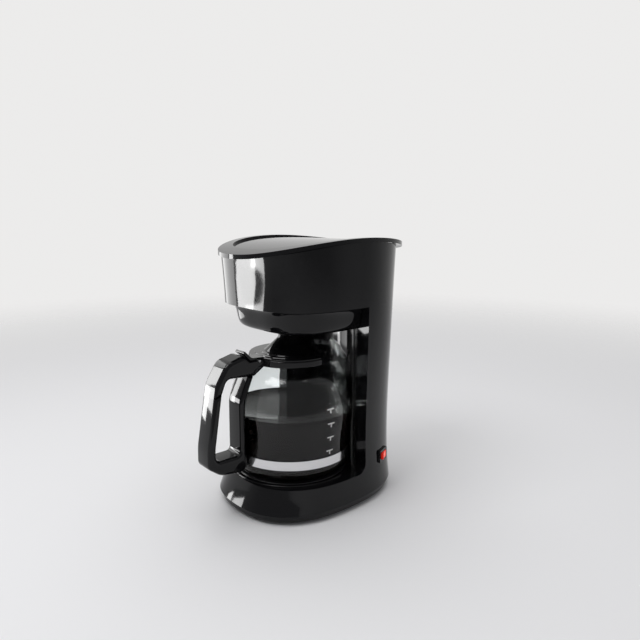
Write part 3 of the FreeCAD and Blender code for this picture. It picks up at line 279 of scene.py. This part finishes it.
def coffeeLiquid(name, look):
    made, tree, shader = freshMaterial(name)
    swirl = noiseAt(tree, objectPlace(tree), *look["swirl"])
    colorFrom(tree, shader, swirl, look["shades"])
    roughnessFrom(tree, shader, swirl, look["rough"])
    setAll(shader, IOR=look["ior"], Specular_IOR_Level=look["shine"])
    return made


inkWhite = {"shades": [(0.25, (0.62, 0.62, 0.61)), (0.6, (0.82, 0.82, 0.81))],
            "wear": (700, 3, 0.6), "rough": (0.35, 0.55)}


def whitePrint(name, look):
    made, tree, shader = freshMaterial(name)
    wear = noiseAt(tree, objectPlace(tree), *look["wear"])
    colorFrom(tree, shader, wear, look["shades"])
    roughnessFrom(tree, shader, wear, look["rough"])
    return made


blackGloss = glossPlastic("blackGloss", glossBlack)
zincSteel = metal("zincSteel", platedSteel)
coffee = coffeeLiquid("coffee", blackCoffee)
scaleWhite = whitePrint("scaleWhite", inkWhite)

finishOf = {
    "black_gloss": blackGloss,
    "black_matte": mattePlastic("blackMatte", matteBlack),
    "tank_grey": mattePlastic("tankSmoke", smokeGrey),
    "foot_rubber": softRubber("footRubber", rubberBlack),
    "silicone": milkySilicone("silicone", milkWhite),
    "plate_black": coatedPlate("plateCoat", nonStick),
    "heater_aluminium": metal("rawAluminium", extrudedAluminium),
    "plain_steel": zincSteel,
    "bright_steel": metal("brightSteel", polishedStrip),
    "clear_glass": clearGlass("glass", blownGlass),
    "ball_white": glossPlastic("whiteBall", ballWhite),
    "lit_red": redWithPaintedGlow("redKey", paintedGlowRed),
}
for entry in frame["record"]["subparts"]:
    mesh = nodes[entry["node"]].data
    mesh.materials.clear()
    mesh.materials.append(finishOf[entry["material_slot"]])


# meshes that follow the carafe's own wall

def wallTree(node):
    shape = bmesh.new()
    shape.from_mesh(nodes[node].data)
    tree = BVHTree.FromBMesh(shape)
    shape.free()
    return tree


glassWall = wallTree("carafe_glass")


def insideRadius(z):
    hit = glassWall.ray_cast(Vector((0, carafeAxis.y, z)), Vector((1, 0, 0)))
    return hit[0].x


# the sinks let the coffee meet the glass with no gap
coffeeFill = {"level": 0.109, "glassFloor": 0.0024, "floorSink": 0.0003, "wallSink": 0.0004,
              "firstRing": 0.0004, "meniscus": 0.0012, "lip": 0.0006, "lipDrop": 0.15, "curl": 0.002,
              "rings": 26, "around": 96}


def coffeeProfile():
    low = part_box("carafe_glass")[0].z + coffeeFill["glassFloor"] - coffeeFill["floorSink"]
    high = coffeeFill["level"]
    profile = [(0, low)]
    for step in range(coffeeFill["rings"] + 1):
        z = low + coffeeFill["firstRing"] + (high - low) * (step / coffeeFill["rings"])
        profile.append((insideRadius(z) + coffeeFill["wallSink"], z))
    edge = profile[-1][0]
    climb = coffeeFill["meniscus"]
    profile.append((edge - coffeeFill["lip"], high - coffeeFill["lipDrop"] * climb))
    for r in (edge - coffeeFill["curl"], edge * 0.5, 0):
        profile.append((r, high - climb))
    return profile


def makeCoffee():
    count = coffeeFill["around"]
    shape = bmesh.new()
    rings = []
    for r, z in coffeeProfile():
        ring = []
        for k in range(count if r else 1):
            turn = 2 * math.pi * k / count
            ring.append(shape.verts.new((r * math.cos(turn), carafeAxis.y + r * math.sin(turn), z)))
        rings.append(ring)
    for lower, upper in zip(rings, rings[1:]):
        for k in range(count):
            n = (k + 1) % count
            if len(lower) == 1:
                shape.faces.new((lower[0], upper[n], upper[k]))
            elif len(upper) == 1:
                shape.faces.new((lower[k], lower[n], upper[0]))
            else:
                shape.faces.new((lower[k], lower[n], upper[n], upper[k]))
    bmesh.ops.recalc_face_normals(shape, faces=shape.faces)
    for face in shape.faces:
        face.smooth = True
    mesh = bpy.data.meshes.new("coffee_fill")
    shape.to_mesh(mesh)
    shape.free()
    mesh.materials.append(coffee)
    fill = bpy.data.objects.new("coffee_fill", mesh)
    scene.collection.objects.link(fill)
    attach(fill, "carafe")


makeCoffee()
print("coffee in the carafe")


# Geometry Nodes: small parts that repeat or follow a path

def newTree(name, sizes):
    tree = bpy.data.node_groups.new(name, "GeometryNodeTree")
    tree.interface.new_socket("Geometry", in_out="INPUT", socket_type="NodeSocketGeometry")
    inputs = {}
    for label, value in sizes.items():
        kind = "NodeSocketInt" if isinstance(value, int) else "NodeSocketFloat"
        socket = tree.interface.new_socket(label, in_out="INPUT", socket_type=kind)
        socket.default_value = value
        inputs[socket.identifier] = value
    tree.interface.new_socket("Geometry", in_out="OUTPUT", socket_type="NodeSocketGeometry")
    start = tree.nodes.new("NodeGroupInput")
    end = tree.nodes.new("NodeGroupOutput")
    return tree, start, end, inputs


def closeTree(tree, last, end, material):
    real = tree.nodes.new("GeometryNodeRealizeInstances")
    painted = tree.nodes.new("GeometryNodeSetMaterial")
    painted.inputs["Material"].default_value = material
    tree.links.new(last, real.inputs[0])
    tree.links.new(real.outputs[0], painted.inputs[0])
    tree.links.new(painted.outputs[0], end.inputs[0])


def bakeTree(name, tree, inputs, body):
    holder = bpy.data.objects.new(name + "_holder", bpy.data.meshes.new(name + "_holder"))
    scene.collection.objects.link(holder)
    modifier = holder.modifiers.new("nodes", "NODES")
    modifier.node_group = tree
    for identifier, value in inputs.items():
        modifier[identifier] = value
    bpy.context.view_layer.update()
    seen = holder.evaluated_get(bpy.context.evaluated_depsgraph_get())
    mesh = bpy.data.meshes.new_from_object(seen)
    bpy.data.objects.remove(holder)
    mesh.name = name
    piece = bpy.data.objects.new(name, mesh)
    scene.collection.objects.link(piece)
    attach(piece, body)
    return piece


levelMarks = {"count": 4, "first": 0.0732, "pitch": 0.0157, "barWidth": 0.009, "barTall": 0.0012,
              "stemWidth": 0.0013, "stemTall": 0.0042, "lift": -0.00002, "ink": 0.00012, "turn": -2.0,
              "barGrid": (13, 3), "stemGrid": (3, 7), "wrapRadius": 0.072, "rayFrom": 0.12,
              "rayLength": 0.2, "weld": 0.000001}


def makeLevelMarks():
    tree, start, end, inputs = newTree("levelMarkTree", {
        "Count": levelMarks["count"], "First": levelMarks["first"], "Pitch": levelMarks["pitch"],
        "Bar Width": levelMarks["barWidth"], "Bar Tall": levelMarks["barTall"],
        "Stem Width": levelMarks["stemWidth"], "Stem Tall": levelMarks["stemTall"],
        "Lift": levelMarks["lift"], "Ink": levelMarks["ink"],
        "Turn": math.radians(levelMarks["turn"])})
    add, link = tree.nodes.new, tree.links.new

    def grid(width, tall, columns, rows):
        node = add("GeometryNodeMeshGrid")
        link(start.outputs[width], node.inputs["Size X"])
        link(start.outputs[tall], node.inputs["Size Y"])
        node.inputs["Vertices X"].default_value = columns
        node.inputs["Vertices Y"].default_value = rows
        return node.outputs["Mesh"]

    def along(axis, source):
        node = add("ShaderNodeCombineXYZ")
        link(source, node.inputs[axis])
        return node

    def calculate(operation, source):
        node = add("ShaderNodeMath")
        node.operation = operation
        link(source, node.inputs[0])
        return node

    def scaled(source, factor=1.0):
        node = add("ShaderNodeVectorMath")
        node.operation = "SCALE"
        node.inputs["Scale"].default_value = factor
        link(source, node.inputs[0])
        return node

    def added(first, second):
        node = add("ShaderNodeVectorMath")
        link(first, node.inputs[0])
        link(second, node.inputs[1])
        return node.outputs[0]

    # one mark: a bar with a stem below it, stood up to face +X
    bar = grid("Bar Width", "Bar Tall", *levelMarks["barGrid"])
    stem = grid("Stem Width", "Stem Tall", *levelMarks["stemGrid"])
    drop = calculate("MULTIPLY", start.outputs["Stem Tall"])
    drop.inputs[1].default_value = -0.5
    lowered = add("GeometryNodeTransform")
    link(stem, lowered.inputs["Geometry"])
    link(along("Y", drop.outputs[0]).outputs[0], lowered.inputs["Translation"])
    mark = add("GeometryNodeJoinGeometry")
    link(bar, mark.inputs[0])
    link(lowered.outputs[0], mark.inputs[0])
    upright = add("GeometryNodeTransform")
    upright.inputs["Rotation"].default_value = (math.radians(90), 0, math.radians(90))
    link(mark.outputs[0], upright.inputs["Geometry"])
    # the column of marks
    line = add("GeometryNodeMeshLine")
    link(start.outputs["Count"], line.inputs["Count"])
    link(along("Z", start.outputs["First"]).outputs[0], line.inputs["Start Location"])
    link(along("Z", start.outputs["Pitch"]).outputs[0], line.inputs["Offset"])
    placed = add("GeometryNodeInstanceOnPoints")
    link(line.outputs[0], placed.inputs["Points"])
    link(upright.outputs[0], placed.inputs["Instance"])
    single = add("GeometryNodeRealizeInstances")
    link(placed.outputs[0], single.inputs[0])
    # wrap: each point goes to where a ray towards the carafe's axis meets the glass
    parts = add("ShaderNodeSeparateXYZ")
    link(add("GeometryNodeInputPosition").outputs[0], parts.inputs[0])
    angle = calculate("MULTIPLY_ADD", parts.outputs["Y"])
    angle.inputs[1].default_value = 1 / levelMarks["wrapRadius"]
    link(start.outputs["Turn"], angle.inputs[2])
    outward = along("X", calculate("COSINE", angle.outputs[0]).outputs[0])
    link(calculate("SINE", angle.outputs[0]).outputs[0], outward.inputs["Y"])
    inward = scaled(outward.outputs[0], -1)
    far = scaled(outward.outputs[0], levelMarks["rayFrom"])
    height = along("Z", parts.outputs["Z"])
    height.inputs["Y"].default_value = carafeAxis.y
    jug = add("GeometryNodeObjectInfo")
    jug.inputs["Object"].default_value = nodes["carafe_glass"]
    ray = add("GeometryNodeRaycast")
    ray.inputs["Ray Length"].default_value = levelMarks["rayLength"]
    link(jug.outputs["Geometry"], ray.inputs["Target Geometry"])
    link(added(far.outputs[0], height.outputs[0]), ray.inputs["Source Position"])
    link(inward.outputs[0], ray.inputs["Ray Direction"])
    raised = scaled(outward.outputs[0])
    link(start.outputs["Lift"], raised.inputs["Scale"])
    moved = add("GeometryNodeSetPosition")
    link(single.outputs[0], moved.inputs["Geometry"])
    link(added(ray.outputs["Hit Position"], raised.outputs[0]), moved.inputs["Position"])
    # the ink has a thickness, so the marks are closed shapes
    front = add("GeometryNodeExtrudeMesh")
    front.inputs["Individual"].default_value = False
    link(moved.outputs[0], front.inputs["Mesh"])
    link(start.outputs["Ink"], front.inputs["Offset Scale"])
    back = add("GeometryNodeFlipFaces")
    link(moved.outputs[0], back.inputs[0])
    closed = add("GeometryNodeJoinGeometry")
    link(front.outputs["Mesh"], closed.inputs[0])
    link(back.outputs[0], closed.inputs[0])
    welded = add("GeometryNodeMergeByDistance")
    welded.inputs["Distance"].default_value = levelMarks["weld"]
    link(closed.outputs[0], welded.inputs[0])
    closeTree(tree, welded.outputs[0], end, scaleWhite)
    bakeTree("level_marks", tree, inputs, "carafe")


makeLevelMarks()
print("level marks on the glass")


tabRidges = {"count": 5, "front": -0.0825, "pitch": 0.0019, "width": 0.0125, "radius": 0.00055,
             "sides": 12, "above": 0.25}


def makeTabRidges():
    lidWall = wallTree("carafe_lid")
    tree, start, end, inputs = newTree("ridgeTree", {
        "Width": tabRidges["width"], "Radius": tabRidges["radius"]})
    add, link = tree.nodes.new, tree.links.new
    joined = add("GeometryNodeJoinGeometry")
    ridge = add("GeometryNodeMeshCylinder")
    ridge.inputs["Vertices"].default_value = tabRidges["sides"]
    link(start.outputs["Radius"], ridge.inputs["Radius"])
    link(start.outputs["Width"], ridge.inputs["Depth"])
    for k in range(tabRidges["count"]):
        y = tabRidges["front"] + k * tabRidges["pitch"]
        hit = lidWall.ray_cast(Vector((0, y, tabRidges["above"])), Vector((0, 0, -1)))
        lying = add("GeometryNodeTransform")
        lying.inputs["Rotation"].default_value = (0, math.radians(90), 0)
        lying.inputs["Translation"].default_value = hit[0]
        link(ridge.outputs[0], lying.inputs["Geometry"])
        link(lying.outputs[0], joined.inputs[0])
    closeTree(tree, joined.outputs[0], end, blackGloss)
    bakeTree("tab_ridges", tree, inputs, "carafe")


makeTabRidges()
print("ridges on the thumb tab")


dripCoil = {"radius": 0.0046, "wire": 0.0005, "turns": 4.0, "stepsPerTurn": 40, "sides": 12,
            "valveLift": 0.004}


def makeDripCoil():
    low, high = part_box("drip_spring")
    length = high.z - low.z
    wire = dripCoil["wire"]
    tree, start, end, inputs = newTree("coilTree", {
        "Radius": dripCoil["radius"], "Wire": wire, "Turns": dripCoil["turns"],
        "Height": length - 2 * wire})
    add, link = tree.nodes.new, tree.links.new
    spiral = add("GeometryNodeCurveSpiral")
    spiral.inputs["Resolution"].default_value = dripCoil["stepsPerTurn"]
    link(start.outputs["Turns"], spiral.inputs["Rotations"])
    link(start.outputs["Radius"], spiral.inputs["Start Radius"])
    link(start.outputs["Radius"], spiral.inputs["End Radius"])
    link(start.outputs["Height"], spiral.inputs["Height"])
    section = add("GeometryNodeCurvePrimitiveCircle")
    section.inputs["Resolution"].default_value = dripCoil["sides"]
    link(start.outputs["Wire"], section.inputs["Radius"])
    tube = add("GeometryNodeCurveToMesh")
    tube.inputs["Fill Caps"].default_value = True
    link(spiral.outputs[0], tube.inputs["Curve"])
    link(section.outputs[0], tube.inputs["Profile Curve"])
    seated = add("GeometryNodeTransform")
    seated.inputs["Translation"].default_value = (0, carafeAxis.y, low.z + wire)
    link(tube.outputs[0], seated.inputs["Geometry"])
    closeTree(tree, seated.outputs[0], end, zincSteel)
    coil = bakeTree("drip_coil", tree, inputs, "body")
    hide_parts("drip_spring")
    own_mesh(coil)


makeDripCoil()
print("coil spring over the drip valve")


# handle grip: the CAD outline, with its sharp side edges rounded

roundGrip = {"round": 0.0038, "steps": 5, "sharp": 40, "weld": 0.000001, "flat": 0.00001}


def sideLoop(node, x):
    shape = bmesh.new()
    shape.from_mesh(nodes[node].data)
    bmesh.ops.remove_doubles(shape, verts=shape.verts, dist=roundGrip["weld"])
    side = {f for f in shape.faces if all(abs(v.co.x - x) < roundGrip["flat"] for v in f.verts)}
    follow = {}
    for edge in shape.edges:
        if sum(f in side for f in edge.link_faces) == 1:
            a, b = edge.verts
            follow.setdefault(a, []).append(b)
            follow.setdefault(b, []).append(a)
    loops = []
    while follow:
        loop, here, before = [], next(iter(follow)), None
        while here in follow:
            ahead = [v for v in follow.pop(here) if v is not before]
            loop.append((here.co.y, here.co.z))
            before, here = here, ahead[0]
        loops.append(loop)
    shape.free()
    return max(loops, key=lambda loop: max(z for y, z in loop) - min(z for y, z in loop))


def makeGrip():
    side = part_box("handle_grip")[1].x
    loop = sideLoop("handle_grip", side)
    curve = bpy.data.curves.new("grip_outline", "CURVE")
    curve.dimensions = "2D"
    curve.fill_mode = "BOTH"
    curve.bevel_depth = roundGrip["round"]
    curve.bevel_resolution = roundGrip["steps"]
    curve.offset = -roundGrip["round"]
    curve.extrude = side - roundGrip["round"]
    line = curve.splines.new("POLY")
    line.points.add(len(loop) - 1)
    for point, (y, z) in zip(line.points, loop):
        point.co = (y, z, 0, 1)
    line.use_cyclic_u = True
    holder = bpy.data.objects.new("grip_holder", curve)
    scene.collection.objects.link(holder)
    bpy.context.view_layer.update()
    seen = holder.evaluated_get(bpy.context.evaluated_depsgraph_get())
    mesh = bpy.data.meshes.new_from_object(seen)
    bpy.data.objects.remove(holder)
    mesh.name = "rounded_grip"
    outlineToSide = Matrix(((0, 0, 1, 0), (1, 0, 0, 0), (0, 1, 0, 0), (0, 0, 0, 1)))
    mesh.transform(outlineToSide)
    shape = bmesh.new()
    shape.from_mesh(mesh)
    bmesh.ops.remove_doubles(shape, verts=shape.verts, dist=roundGrip["weld"])
    bmesh.ops.recalc_face_normals(shape, faces=shape.faces)
    shape.to_mesh(mesh)
    shape.free()
    mesh.materials.clear()
    mesh.materials.append(blackGloss)
    mesh.shade_smooth()
    mesh.set_sharp_from_angle(angle=math.radians(roundGrip["sharp"]))
    grip = bpy.data.objects.new("rounded_grip", mesh)
    scene.collection.objects.link(grip)
    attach(grip, "carafe")
    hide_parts("handle_grip")


makeGrip()
print("handle grip rounded")


# floor, light and camera

floorLook = {"reach": 3.0, "color": (0.8, 0.8, 0.81, 1), "rough": 0.8, "shine": 0.0,
             "fadeFrom": 0.5, "fadeTo": 2.0}


def makeFloor():
    mesh = bpy.data.meshes.new("floor")
    reach = floorLook["reach"]
    corners = [(-reach, -reach, 0), (reach, -reach, 0), (reach, reach, 0), (-reach, reach, 0)]
    mesh.from_pydata(corners, [], [(0, 1, 2, 3)])
    floor = bpy.data.objects.new("floor", mesh)
    scene.collection.objects.link(floor)
    made, tree, shader = freshMaterial("paleFloor")
    setAll(shader, Base_Color=floorLook["color"], Roughness=floorLook["rough"],
           Specular_IOR_Level=floorLook["shine"])
    coords = tree.nodes.new("ShaderNodeTexCoord")
    away = tree.nodes.new("ShaderNodeVectorMath")
    away.operation = "LENGTH"
    tree.links.new(coords.outputs["Object"], away.inputs[0])
    # the floor melts into the backdrop, so there is no horizon
    fade = tree.nodes.new("ShaderNodeMapRange")
    fade.interpolation_type = "SMOOTHSTEP"
    fade.inputs["From Min"].default_value = floorLook["fadeFrom"]
    fade.inputs["From Max"].default_value = floorLook["fadeTo"]
    tree.links.new(away.outputs["Value"], fade.inputs["Value"])
    clear = tree.nodes.new("ShaderNodeBsdfTransparent")
    mixed = tree.nodes.new("ShaderNodeMixShader")
    tree.links.new(fade.outputs["Result"], mixed.inputs["Fac"])
    tree.links.new(shader.outputs[0], mixed.inputs[1])
    tree.links.new(clear.outputs[0], mixed.inputs[2])
    tree.links.new(mixed.outputs[0], tree.nodes["Material Output"].inputs["Surface"])
    mesh.materials.append(made)


# shades of the room, from behind the machine round to behind the camera
studio = {"shades": [(0.14, (0.84, 0.835, 0.83)), (0.42, (0.5, 0.5, 0.505)), (0.7, (0.3, 0.3, 0.31))],
          "strength": 1.0}


def makeWorld(towardsCamera):
    world = bpy.data.worlds.new("studio")
    scene.world = world
    world.use_nodes = True
    tree = world.node_tree
    ground = tree.nodes["Background"]
    coords = tree.nodes.new("ShaderNodeTexCoord")
    facing = tree.nodes.new("ShaderNodeVectorMath")
    facing.operation = "DOT_PRODUCT"
    facing.inputs[1].default_value = towardsCamera
    tree.links.new(coords.outputs["Generated"], facing.inputs[0])
    spread = tree.nodes.new("ShaderNodeMapRange")
    spread.inputs["From Min"].default_value = -1
    tree.links.new(facing.outputs["Value"], spread.inputs["Value"])
    shades = ramp(tree, spread.outputs["Result"], studio["shades"])
    tree.links.new(shades, ground.inputs["Color"])
    ground.inputs["Strength"].default_value = studio["strength"]


# focal length, shift and frame are in pixels of a square picture
viewPoint = {"azimuth": 49.07, "distance": 0.667, "height": 0.323, "middle": (0, 0.020), "pitch": 8.0,
             "focal": 565.0, "shift": (-8.4, -20.0), "frame": 640, "sensor": 36, "nearest": 0.01}


def makeCamera():
    turn = math.radians(viewPoint["azimuth"])
    pitch = math.radians(viewPoint["pitch"])
    away = Vector((math.sin(turn), -math.cos(turn), 0))
    data = bpy.data.cameras.new("view")
    data.sensor_width = viewPoint["sensor"]
    data.lens = viewPoint["focal"] / viewPoint["frame"] * data.sensor_width
    data.shift_x = -viewPoint["shift"][0] / viewPoint["frame"]
    data.shift_y = viewPoint["shift"][1] / viewPoint["frame"]
    data.clip_start = viewPoint["nearest"]
    eye = bpy.data.objects.new("view", data)
    middle = Vector((*viewPoint["middle"], viewPoint["height"]))
    eye.location = away * viewPoint["distance"] + middle
    look = -away * math.cos(pitch) - Vector((0, 0, math.sin(pitch)))
    eye.rotation_euler = look.to_track_quat("-Z", "Y").to_euler()
    scene.collection.objects.link(eye)
    scene.camera = eye
    return away


# the angle is from the camera's side, positive to the left in the picture
# the height is from the machine's middle
machineMiddle = Vector((0, 0, 0.16))
softboxes = {
    "leftCard": {"angle": 99, "distance": 0.6, "height": 0.15, "size": (0.07, 0.58),
                 "power": 1.75, "card": True},
    "rearCard": {"angle": 121, "distance": 0.62, "height": 0.15, "size": (0.36, 0.58),
                 "power": 2.2, "card": True},
    "lowCard": {"angle": 91, "distance": 0.6, "height": -0.055, "size": (0.17, 0.11),
                "power": 0.8, "card": True},
    "highPanel": {"angle": 50, "distance": 0.65, "height": 1.0, "size": (0.6, 0.5),
                  "power": 5.0, "card": False},
    "topSoftbox": {"angle": 180, "distance": 0.25, "height": 1.75, "size": (1.6, 1.6),
                   "power": 12.5, "card": False},
}


def makeSoftbox(name, look, towardsCamera):
    toRight = Vector((-towardsCamera.y, towardsCamera.x, 0))
    turn = math.radians(look["angle"])
    flat = (towardsCamera * math.cos(turn) - toRight * math.sin(turn)) * look["distance"]
    place = machineMiddle + flat + Vector((0, 0, look["height"]))
    aim = machineMiddle.copy()
    if look["card"]:
        aim.z = place.z
    lamp = bpy.data.lights.new(name, "AREA")
    lamp.shape = "RECTANGLE"
    lamp.size, lamp.size_y = look["size"]
    lamp.energy = look["power"]
    box = bpy.data.objects.new(name, lamp)
    box.location = place
    box.rotation_euler = (aim - place).to_track_quat("-Z", "Y").to_euler()
    box.visible_camera = False
    box.visible_diffuse = not look["card"]  # a card shows only as a reflection in the gloss
    scene.collection.objects.link(box)


towardsCamera = makeCamera()
makeFloor()
makeWorld(towardsCamera)
for name, look in softboxes.items():
    makeSoftbox(name, look, towardsCamera)
print("studio ready")
